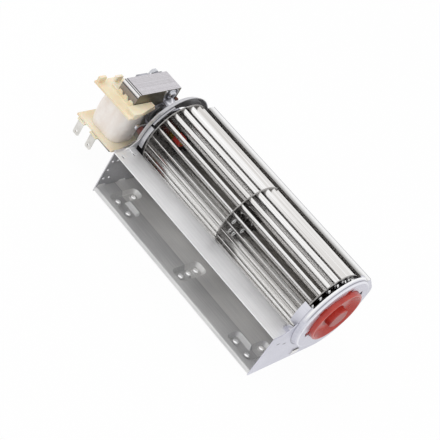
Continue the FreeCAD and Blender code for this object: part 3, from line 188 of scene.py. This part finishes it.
def soft_edged(node, body, paint, width, segments=2):
    # width of the rounding along the piece's sharp edges, in millimetres
    piece = merged_copy(node)
    rounding = piece.modifiers.new("rounding", "BEVEL")
    rounding.width = width * mm
    rounding.segments = segments
    rounding.angle_limit = math.radians(35)
    rounding.use_clamp_overlap = False
    bpy.ops.object.modifier_apply(modifier="rounding")
    bpy.ops.object.shade_smooth_by_angle(angle=math.radians(32))
    flatness = piece.modifiers.new("flatness", "WEIGHTED_NORMAL")
    flatness.keep_sharp = True
    bpy.ops.object.modifier_apply(modifier="flatness")
    hand_over(piece, node, body, paint)
    return piece


def zinc_sheet(name, metallic=0.8):
    # returns the paint, its shader, the place on the sheet and a tone from dark to light
    paint, shader, place = material(name, Metallic=metallic)
    rolling = place.noise(900.0, 2.0, (0.04, 1, 1))
    cloud = place.noise(30.0, 3.0)
    grain = place.noise(1600.0, 2.0)
    feed(shader, "Roughness", rolling * 0.1 + cloud * 0.2 + 0.27)
    bump(shader, rolling * 0.7 + grain * 0.3, 0.006 * mm, 0.4)
    tone = (rolling * 0.35 + cloud * 0.5 + grain * 0.15).span(0.36, 0.64)
    return paint, shader, place, tone


# the floor has a painted dark crease line behind its pads with painted light beyond it, and the lip is
# painted with shade towards the impeller
scroll_zinc, scroll_shader, scroll_place, scroll_tone = zinc_sheet("scroll_zinc", 0.42)
depth = scroll_place.axis(1)
crease_y = 0.0
crease_shade_line = depth.line(crease_y, 0.8 * mm)
lit_beyond_crease = depth.span(crease_y - 0.4 * mm, crease_y + 0.4 * mm)
floor_tone_and_light = scroll_tone * 0.5 + lit_beyond_crease * 0.5 - crease_shade_line * 0.4
# the floor's grey is painted lighter than the plates', as the light falling on it
floor_colour = floor_tone_and_light.mix(colour("cdcdce"), colour("fdfcfa"))
lip_start, lip_end, lip_level = 65.1 * mm, 72.5 * mm, 68.3 * mm
lip = scroll_place.axis(2).span(lip_level, lip_level + 0.2 * mm) * depth.span(lip_start - 2 * mm, lip_start)
lip_shade = depth.span(lip_start, lip_start + 4.4 * mm).mix(colour("8c8a88"), colour("f4f4f4"))
lip_light_and_shade = depth.span(lip_end - 1.1 * mm, lip_end - 0.5 * mm).mix(lip_shade, colour("b4b4b8"))
feed(scroll_shader, "Base Color", lip.mix(floor_colour, lip_light_and_shade))
scroll = soft_edged("scroll_sheet", "housing", scroll_zinc, 0.12)

# the faces round the impeller are dusty and painted darker as shade, and painted lighter near the lip as
# light
dust_and_shade_zinc, dust_and_shade_shader, dust_and_shade_place, dust_and_shade_tone = zinc_sheet("dust_and_shade_zinc", 0.5)
dust_and_shade_colour = dust_and_shade_tone.mix(colour("807c78"), colour("a29e99"))
lit_near_lip = dust_and_shade_place.axis(2).span(56.0 * mm, 64.0 * mm)
feed(dust_and_shade_shader, "Base Color", lit_near_lip.mix(dust_and_shade_colour, colour("d6d4d1")))
scroll.data.materials.append(dust_and_shade_zinc)
axis_y, axis_z = 34.25 * mm, 51.9 * mm
scroll_radius, scroll_front = 50 * mm, 12 * mm
for face in scroll.data.polygons:
    out_y, out_z = face.center.y - axis_y, face.center.z - axis_z
    inward = face.normal.y * out_y + face.normal.z * out_z < 0
    if inward and math.hypot(out_y, out_z) < scroll_radius and face.center.y > scroll_front:
        face.material_index = 1

# Outlet roof: a second strip of the same sheet, punched with two slots and folded down
# beside the impeller. A highlight is painted at its left end, and patches of shade are
# painted round its tab.
roof_zinc, roof_shader, roof_place, roof_tone = zinc_sheet("roof_zinc")
left_x = -92.0 * mm
left_end_highlight = roof_place.axis(0).fade(left_x, left_x + 12.0 * mm)
left_end_highlight = left_end_highlight * roof_place.noise(260.0, 3.0).span(0.4, 0.6, 0.5, 1.0)
# the roof's grey is painted lighter than the other sheets', as the light falling on it
roof_colour = left_end_highlight.mix(roof_tone.mix(colour("e8e8ea"), colour("fafafb")), colour("ffffff"))
roof_level = 41.4 * mm
roof_tab_x, roof_tab_y, roof_tab_z = 87.75 * mm, -1.35 * mm, 42.3 * mm
from_tab = roof_place.from_line((0, 1), (roof_tab_x, roof_tab_y))
tab_shade_patches = from_tab.line(2.8 * mm, 1.4 * mm) * roof_place.noise(500.0, 2.0).span(0.38, 0.46)
on_top = roof_place.axis(2).fade(roof_level - 0.2 * mm, roof_level + 0.2 * mm)
feed(roof_shader, "Base Color", (tab_shade_patches * on_top * 0.9).mix(roof_colour, colour("55555a")))
soft_edged("tongue_sheet", "housing", roof_zinc, 0.12)

# Roof tab: the end of the roof sheet, of the same 0.8 mm steel. It is passed through the
# bearing plate's ear and twisted there, which locks the roof to the plate.
roof_tab_size = (4.2 * mm, 0.8 * mm, 3.2 * mm)
roof_tab_turn, roof_tab_twist = math.radians(20), math.radians(55)
bpy.ops.object.select_all(action="DESELECT")
bpy.ops.mesh.primitive_cube_add(size=1)
roof_tab = bpy.context.object
roof_tab.name = "roof_tab"
roof_tab.data.transform(Matrix.Diagonal((*roof_tab_size, 1)))
bpy.ops.object.mode_set(mode="EDIT")
bpy.ops.mesh.select_all(action="SELECT")
bpy.ops.mesh.subdivide(number_cuts=5)
bpy.ops.object.mode_set(mode="OBJECT")
for vertex in roof_tab.data.vertices:
    turn = roof_tab_turn + vertex.co.z / roof_tab_size[2] * roof_tab_twist
    vertex.co = Matrix.Rotation(turn, 3, "Z") @ vertex.co
roof_tab.data.transform(Matrix.Translation((roof_tab_x, roof_tab_y, roof_tab_z)))
edges = roof_tab.modifiers.new("edges", "BEVEL")
edges.width = 0.15 * mm
edges.angle_limit = math.radians(40)
bpy.ops.object.modifier_apply(modifier="edges")
roof_tab.data.materials.append(roof_zinc)
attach(roof_tab, "housing")

# Motor plate: drawn from the same sheet with a dish, a collar hood and pierced holes.
# A highlight is painted along its fold at the roof's level, and shade is painted dark inside the left of its
# dish.
motor_plate_zinc, plate_shader, plate_place, plate_tone = zinc_sheet("motor_plate_zinc")
depth = plate_place.axis(1)
fold_highlight = plate_place.axis(2).line(roof_level, 1.4 * mm) * depth.fade(0.0, 2 * mm)
# the motor plate's grey is painted darker than the other sheets', as shade
plate_colour = fold_highlight.mix(plate_tone.mix(colour("bcbcc0"), colour("d6d6d9")), colour("ffffff"))
dish_y, dish_z = 35.75 * mm, 49.7 * mm
dish_radius, dish_taper = 34.0 * mm, 0.375
plate_x = -93.85 * mm
outward = plate_x - plate_place.axis(0)
slope = plate_place.from_line((1, 2), (dish_y, dish_z)) + outward * dish_taper
dish_shade = slope.fade(dish_radius, dish_radius + 0.3 * mm) * outward.span(0.1 * mm, 0.6 * mm)
dish_shade = dish_shade * outward.fade(3.5 * mm, 3.7 * mm) * depth.fade(dish_y - 16 * mm, dish_y - 6 * mm)
feed(plate_shader, "Base Color", dish_shade.mix(plate_colour, colour("38363a")))
soft_edged("end_plate_motor", "housing", motor_plate_zinc, 0.14)

# Bearing plate: the same drawing with a deeper dish and a notched opening for the
# silicone holder. Rings of shade and highlight are painted on its foot, brim and collar.
bearing_plate_zinc, plate_shader, plate_place, plate_tone = zinc_sheet("bearing_plate_zinc")
# the bearing plate's grey is painted a lighter lavender, as the light reflected on it
plate_colour = plate_tone.mix(colour("cbcbd6"), colour("dfdfe8"))
along, front, up = [plate_place.axis(index) for index in range(3)]
foot_radius, brim_radius, collar_radius = 35.3 * mm, 32.9 * mm, 32.8 * mm
bead_x, groove_x = plate_x + 186.4 * mm, plate_x + 188.3 * mm
radius = plate_place.from_line((1, 2), (dish_y, dish_z))
foot_shade = radius.line(foot_radius, 0.7 * mm) * 0.75
brim_highlight = radius.line(brim_radius, 0.9 * mm) * 0.8
ringed = brim_highlight.mix(foot_shade.mix(plate_colour, colour("6e6e78")), colour("fafaff"))
collar = radius.span(collar_radius, collar_radius + 0.4 * mm) * up.span(dish_z + 2 * mm, dish_z + 9 * mm)
bead_highlight = along.line(bead_x, 1.5 * mm) * collar
collar_groove_shade = along.line(groove_x, 0.6 * mm) * collar
rimmed = (collar_groove_shade * 0.8).mix(bead_highlight.mix(ringed, colour("ffffff")), colour("5c5c64"))
upper_tick = up.line(29.9 * mm, 0.7 * mm) * front.line(-8.0 * mm, 2.4 * mm)
lower_tick = up.line(26.6 * mm, 0.7 * mm) * front.line(1.4 * mm, 2.4 * mm)
ticks = ((upper_tick + lower_tick) * 2.5).span(0.0, 1.0)
feed(plate_shader, "Base Color", ticks.mix(rimmed, colour("55555e")))
soft_edged("end_plate_bearing", "housing", bearing_plate_zinc, 0.14)


# Silicone pieces: the bearing holder, the drive sleeve and the motor mounts, moulded in
# red silicone rubber and pushed into place. The rubber has a faint dusty bloom.
def silicone(name, dark, light, inside=None):
    # inside is the X up to which the holder is painted dark as shade, and its boss is painted a deeper red
    # as shade
    paint, shader, place = material(name, Coat_Weight=0.5, Coat_Roughness=0.25)
    bloom = place.noise(140.0, 4.0)
    tone = bloom.span(0.3, 0.75).mix(colour(dark), colour(light))
    if inside is not None:
        boss_radius = 9.8 * mm
        shaded_inside = place.axis(0).fade(inside, inside + mm)
        shaded_boss = place.from_line((1, 2), (dish_y, dish_z)).span(boss_radius, boss_radius + 0.6 * mm, 0.6, 0.0)
        tone = shaded_boss.mix(shaded_inside.mix(tone, colour("1c0504")), colour("86140b"))
        feed(shader, "Coat Weight", 0.5 - shaded_boss * 0.75)
    feed(shader, "Base Color", tone)
    feed(shader, "Roughness", bloom * 0.25 + 0.25)
    bump(shader, place.noise(900.0, 3.0), 0.02 * mm, 0.4)
    return paint


holder_silicone = silicone("holder_silicone", "b3261b", "c8402f", 94.5 * mm)
soft_edged("bearing_holder", "housing", holder_silicone, 0.25)
# the mounts are painted a darker red than the holder, as the shade under the coil
shaded_mount_silicone = silicone("shaded_mount_silicone", "4a0c08", "5e140f")
for node in ("motor_mount_1", "motor_mount_2", "motor_mount_3"):
    soft_edged(node, "housing", shaded_mount_silicone, 0.3)
sleeve_silicone = silicone("sleeve_silicone", "a82015", "c2382a")
soft_edged("drive_bush", "rotor", sleeve_silicone, 0.2)


# Bearings: bushes pressed from bronze powder and sintered, so that open pores hold their
# oil. One sits in the silicone holder and one in the cup of each motor bridge.
def mottled(name, dark, light, grain, rough, spread=(0.3, 0.7), relief=None, **settings):
    # patches of two shades: grain is their noise's scale, detail and stretch, rough the least
    # roughness and what the patches add, and relief the depth and strength of their bumps
    paint, shader, place = material(name, **settings)
    patches = place.noise(*grain)
    feed(shader, "Base Color", patches.span(*spread).mix(colour(dark), colour(light)))
    feed(shader, "Roughness", patches * rough[1] + rough[0])
    if relief:
        bump(shader, patches, *relief)
    return paint


def dress(paint, *nodes):
    for node in nodes:
        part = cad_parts[node]
        part.data.materials.clear()
        part.data.materials.append(paint)


bronze = mottled("sintered_bronze", "5b4026", "b48a55", (2500.0, 2.0), (0.3, 0.3), (0.35, 0.6), Metallic=0.9)
dress(bronze, "bearing_bush", "front_bearing", "rear_bearing")

# Laminations: silicon steel stampings half a millimetre thick, stacked along the
# shaft and riveted. Each one shows as a line along the sheared sides.
lamination, lamination_shader, lamination_place = material("laminations", Metallic=0.75)
across, nose, height = [lamination_place.axis(index) for index in range(3)]
sheets_per_metre = 2000.0
sheets = across * sheets_per_metre
within = sheets.maths("FRACT", sheets)
gap = within.maths("PINGPONG", within, 0.5).span(0.02, 0.16)
which = sheets.out("ShaderNodeTexWhiteNoise", 0, {"noise_dimensions": "1D"}, W=sheets.maths("FLOOR", sheets))
shear = lamination_place.noise(300.0, 3.0)
brightness = (0.3 + gap * (0.35 + which * 0.2 + shear * 0.3)).span(0.0, 1.0)
sheared = brightness.mix(colour("6c6868"), colour("dcd9de"))

# the stack is painted with shade low on its front, a highlight along its rolled edge and dark lines of shade
# near the top
front_shade_top, rolled_edge, stack_top = 72.0 * mm, 72.8 * mm, 74.6 * mm
low_front_shade = height.fade(front_shade_top, front_shade_top + 1.2 * mm) * nose.fade(1.5 * mm, 2.0 * mm)
edge_highlight = height.span(rolled_edge, rolled_edge + 0.6 * mm) * nose.fade(3.9 * mm, 4.2 * mm)
surface_tone = (edge_highlight * 0.7).mix((low_front_shade * 0.65).mix(sheared, colour("7d7268")), colour("ffffff"))
top_shade_lines = nose.line(4.3 * mm, 0.5 * mm) + nose.line(2.4 * mm, 0.6 * mm)
top_shade_lines = top_shade_lines * height.span(stack_top, stack_top + 0.3 * mm)
front_shade_line = height.line(72.6 * mm, 0.6 * mm) * nose.fade(3.0 * mm, 3.4 * mm)
shade_lines = (top_shade_lines + front_shade_line).span(0.0, 0.9)
feed(lamination_shader, "Base Color", shade_lines.mix(surface_tone, colour("3a3636")))
feed(lamination_shader, "Roughness", 0.5 - gap * 0.15 + shear * 0.1)
bump(lamination_shader, gap + which * 0.4, 0.03 * mm, 0.5)
stack = soft_edged("stator_stack", "housing", lamination, 0.2)
oxide = mottled("lamination_face", "6b6659", "8d8777", (90.0, 3.0), (0.35, 0.2), (0.35, 0.65), Metallic=0.7)
stack.data.materials.append(oxide)
for face in stack.data.polygons:
    if abs(face.normal.x) > 0.9:
        face.material_index = 1
dress(lamination, "coil_core", "rotor_core")

# Shading rings: bare copper wire, bent round half of each pole through a slot and
# closed on itself, and coloured dark brown.
copper = mottled("copper_wire", "4a2c20", "6a4030", (300.0, 4.0), (0.25, 0.2), Metallic=1.0)
dress(copper, "shading_ring_upper", "shading_ring_lower")

# Bobbin: cream nylon moulded in one piece, which slides over the core and carries the
# winding and the terminals. It is slightly translucent, and yellower in patches.
nylon = mottled("cream_nylon", "f6eeda", "ecdcba", (60.0, 4.0), (0.35, 0.2),
                Subsurface_Weight=0.2, Subsurface_Scale=0.002)
soft_edged("bobbin", "housing", nylon, 0.12, 1)

# Winding: enamelled copper wire under pale varnished tape, lapped round and round
# the coil and drawn tight, so that it is slightly wrinkled and fuller in the middle.
tape = mottled("winding_tape", "f2e8e0", "fdf9f5", (160.0, 4.0, (1, 1, 0.4)), (0.35, 0.2), (0.3, 0.75),
               (0.1 * mm, 0.4))
winding = merged_copy("coil_winding")
winding.data.remesh_voxel_size = 0.6 * mm
bpy.ops.object.voxel_remesh()
tape_top = max(corner[2] for corner in winding.bound_box)
tape_base = min(corner[2] for corner in winding.bound_box)
tape_pitch, tape_margin = 4.6 * mm, 3 * mm
lap_height, wrinkle_height = 0.22, 0.22
moves = []
for vertex in winding.data.vertices:
    place = vertex.co
    rim = min(tape_top - place.z, place.z - tape_base) / tape_margin
    share = max(0.0, min(1.0, rim)) * (1 - abs(vertex.normal.z))
    turn = place.z / tape_pitch + 0.4 * noise.noise(place * 60)
    lap = (turn - math.floor(turn)) * lap_height - 0.1
    wrinkle = noise.noise(Vector((place.x * 130, place.y * 130, place.z * 420))) * wrinkle_height
    moves.append(vertex.normal * (share * (lap + wrinkle) * mm))
for vertex, move in zip(winding.data.vertices, moves):
    vertex.co += move
bpy.ops.object.shade_smooth()
hand_over(winding, "coil_winding", "housing", tape)

# Terminals: 6.3 mm spade tabs stamped from brass and tin-plated. They are pushed into
# the bobbin's sockets, and the supply leads push onto them.
tin = mottled("tin_plate", "d0cec9", "eeece8", (200.0, 4.0), (0.25, 0.25), Metallic=0.95)
for node in ("terminal_1", "terminal_2"):
    soft_edged(node, "housing", tin, 0.1)

# Motor bridges: steel stampings, zinc-plated, with a drawn cup for each bearing. They
# are screwed to both sides of the stack. Round the screw, a dark ring of shade and a
# bright ring of highlight are painted.
plated, plated_shader, plated_place = material("zinc_plate", Metallic=0.95)
haze = plated_place.noise(150.0, 4.0)
plate_grey = haze.span(0.3, 0.7).mix(colour("86868c"), colour("bcbcc4"))
screw_y, screw_z = 37.25 * mm, 72.7 * mm
from_screw = plated_place.from_line((1, 2), (screw_y, screw_z))
# a ring of painted shade and a ring of painted highlight round the screw's ear
shaded = from_screw.line(5.0 * mm, 1.3 * mm).mix(plate_grey, colour("1c1c1e"))
feed(plated_shader, "Base Color", from_screw.line(6.9 * mm, 0.7 * mm).mix(shaded, colour("f6f6fa")))
feed(plated_shader, "Roughness", haze * 0.25 + 0.22)
for node in ("front_bridge", "rear_bridge"):
    soft_edged(node, "housing", plated, 0.15)

# Screws and nuts: steel with bright zinc plating. Two long screws with nuts hold the
# bridges and the stack together, and three short ones go into the silicone mounts.
bright_zinc = mottled("bright_zinc", "b4b6bc", "dcdde2", (500.0, 3.0), (0.1, 0.2), Metallic=1.0)
for node in ("motor_screws", "motor_nuts", "mount_screws"):
    soft_edged(node, "housing", bright_zinc, 0.15)

# Impeller discs: aluminium blanked with a slot for each blade, one at each end and one
# in the middle with a ring of eyelets. Their faces are painted dark as shade, their rims
# lighter as painted light, and the eyelets white as painted glints.
disc_paint, disc_shader, disc_place = material("disc_aluminium")
blanked = disc_place.noise(220.0, 3.0)
surface_tone = blanked.span(0.3, 0.7)
shaded_face_colour = surface_tone.mix(colour("4c4a48"), colour("6a6765"))
lit_rim_colour = surface_tone.mix(colour("8a8886"), colour("b4b2b0"))
rim_radius = 28.9 * mm
rim = disc_place.from_line((1, 2), (axis_y, axis_z)).span(rim_radius, rim_radius + 0.7 * mm)
middle_face = -1.35 * mm
along = disc_place.axis(0)
eyelet_glints = along.span(middle_face + 0.5 * mm, middle_face + 0.7 * mm)
eyelet_glints = eyelet_glints * along.fade(middle_face + 3 * mm, middle_face + 4 * mm)
feed(disc_shader, "Base Color", eyelet_glints.mix(rim.mix(shaded_face_colour, lit_rim_colour), colour("ffffff")))
feed(disc_shader, "Metallic", eyelet_glints.span(0.0, 1.0, 1.0, 0.35))
feed(disc_shader, "Roughness", blanked * 0.15 + 0.2)
for node in ("disc_motor_end", "disc_middle", "disc_bearing_end"):
    soft_edged(node, "rotor", disc_paint, 0.1)

# Blades: bright rolled aluminium strip, curved, with tabs through the end discs.
# Rolling has left fine lines along each blade on a near-mirror face.
blade_count = 22
blade_paint, blade_shader, blade_place = material("blade_aluminium", Metallic=1.0)
lines = blade_place.noise(900.0, 2.0, (0.008, 1, 1))
sheen = blade_place.noise(60.0, 2.0, (0.1, 1, 1))
brightness = (lines * 0.6 + sheen * 0.4).span(0.35, 0.65)
feed(blade_shader, "Base Color", brightness.mix(colour("d6d3d0"), colour("ffffff")))
feed(blade_shader, "Roughness", lines * 0.1 + 0.17)
for number in range(1, blade_count + 1):
    soft_edged("blade_%02d" % number, "rotor", blade_paint, 0.06, 1)

# Blade tabs: the aluminium end of each blade, put through its slot and hammered over on
# the outer face of the end disc, which leaves it bent, dented and bright.
hammered = mottled("hammered_tab", "dcdcdc", "fbfbfb", (900.0, 2.0), (0.12, 0.2), (0.35, 0.65),
                   (0.04 * mm, 0.6), Metallic=1.0)
blade_tab_size = (2.3 * mm, 3.0 * mm, 2.0 * mm)
bpy.ops.object.select_all(action="DESELECT")
bpy.ops.mesh.primitive_cube_add(size=1)
tab_model = bpy.context.object
tab_model.data.transform(Matrix.Diagonal((*blade_tab_size, 1)))
bpy.ops.object.mode_set(mode="EDIT")
bpy.ops.mesh.select_all(action="SELECT")
bpy.ops.mesh.subdivide(number_cuts=3)
bpy.ops.mesh.bevel(offset=0.2 * mm, segments=1)
bpy.ops.object.mode_set(mode="OBJECT")
for vertex in tab_model.data.vertices:
    vertex.co.z += 0.3 * vertex.co.y * vertex.co.x / mm
motor_face, bearing_face = plate_x + 3.0 * mm, plate_x + 182.2 * mm
tab_radius, tab_drop = 26.4 * mm, -0.6 * mm
tab_slant, tab_skew = math.radians(24.9), math.radians(24)
first_tab = 112.3
for name, face_x, way in (("tab_ends_motor", motor_face, -1), ("tab_ends_bearing", bearing_face, 1)):
    copies = []
    for index in range(blade_count):
        turn = math.radians(first_tab + index * 360 / blade_count)
        copy = bpy.data.objects.new(name, tab_model.data.copy())
        bpy.context.collection.objects.link(copy)
        copy.data.transform(Matrix.Translation((face_x, axis_y, axis_z)) @ Matrix.Rotation(turn, 4, "X")
                            @ Matrix.Translation((0, tab_radius, tab_drop))
                            @ Matrix.Rotation(-tab_slant, 4, "X")
                            @ Matrix.Rotation(-tab_skew * way, 4, "Z"))
        copies.append(copy)
    pick(*copies)
    bpy.ops.object.join()
    ends = bpy.context.object
    ends.name = name
    ends.data.materials.clear()
    ends.data.materials.append(hammered)
    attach(ends, "rotor")
bpy.data.objects.remove(tab_model)

# Shafts and drive: ground steel shafts, one through the motor and a short one riveted
# into the disc at the free end, and a turned brass hub pressed on the motor's.
ground = mottled("ground_steel", "a9a9ad", "d4d4d8", (1500.0, 2.0, (1, 0.02, 0.02)), (0.12, 0.15),
                 Metallic=1.0)
dress(ground, "motor_shaft", "stub_shaft")
brass = mottled("turned_brass", "a8822f", "dcbc6c", (1800.0, 2.0, (1, 0.03, 0.03)), (0.16, 0.15),
                Metallic=1.0)
dress(brass, "drive_hub")

# Rotor cage: aluminium cast through the rotor's laminations, with a ring at each end
# that ties the bars together. It has the grey, slightly rough skin of a casting.
cast = mottled("cast_aluminium", "8f8f92", "c6c6c9", (700.0, 4.0), (0.35, 0.3), Metallic=0.9)
dress(cast, "rotor_cage")

# Table: a sheet of matt white paper that carries on as a white backdrop. It keeps the
# fan's shadow, and the metal mirrors it as white.
floor_mesh = bpy.data.meshes.new("floor")
reach = 3.0
corners = [(-reach, -reach, 0), (reach, -reach, 0), (reach, reach, 0), (-reach, reach, 0)]
floor_mesh.from_pydata(corners, [], [(0, 1, 2, 3)])
floor = bpy.data.objects.new("floor", floor_mesh)
bpy.context.collection.objects.link(floor)
paper, paper_shader, paper_place = material("paper", Roughness=0.9)
paper_shader.inputs["Base Color"].default_value = (0.9, 0.9, 0.9, 1)
rays = paper_place.node("ShaderNodeLightPath")
seen, mirrored = [Socket(paper.node_tree, rays.outputs[name]) for name in ("Is Camera Ray", "Is Glossy Ray")]
shine = seen.node("ShaderNodeEmission", Color=(1, 1, 1, 1), Strength=1.0)
blend = seen.node("ShaderNodeMixShader", _0=(seen + mirrored).span(0, 1) * 0.96)
paper.node_tree.links.new(paper_shader.outputs[0], blend.inputs[1])
paper.node_tree.links.new(shine.outputs[0], blend.inputs[2])
paper.node_tree.links.new(blend.outputs[0], paper.node_tree.nodes["Material Output"].inputs["Surface"])
floor_mesh.materials.append(paper)

# Light: white surroundings, a large soft lamp over the fan and a weaker one from the
# left. The lamps themselves don't show in the metal.
world = bpy.data.worlds.new("world")
bpy.context.scene.world = world
world.use_nodes = True
background = world.node_tree.nodes["Background"]
background.inputs["Color"].default_value = (1, 1, 1, 1)
rays = world.node_tree.nodes.new("ShaderNodeLightPath")
seen, mirrored, through = [Socket(world.node_tree, rays.outputs[name])
                           for name in ("Is Camera Ray", "Is Glossy Ray", "Is Transmission Ray")]
feed(background, "Strength", (seen + mirrored + through).span(0, 1, 0.8, 1.0))


def lamp(name, place, aim, length, width, power):
    data = bpy.data.lights.new(name, "AREA")
    data.energy = power
    data.shape = "RECTANGLE"
    data.size = length
    data.size_y = width
    made = bpy.data.objects.new(name, data)
    made.location = place
    made.rotation_euler = (Vector(aim) - Vector(place)).to_track_quat("-Z", "Y").to_euler()
    made.visible_glossy = False
    bpy.context.collection.objects.link(made)


lamp("overhead", place=(-0.3, -0.08, 0.9), aim=(-0.3, 0.03, 0.04), length=1.3, width=0.4, power=2.0)
lamp("left", place=(-0.8, -0.5, 0.5), aim=(0.0, 0.03, 0.04), length=0.5, width=0.5, power=0.7)
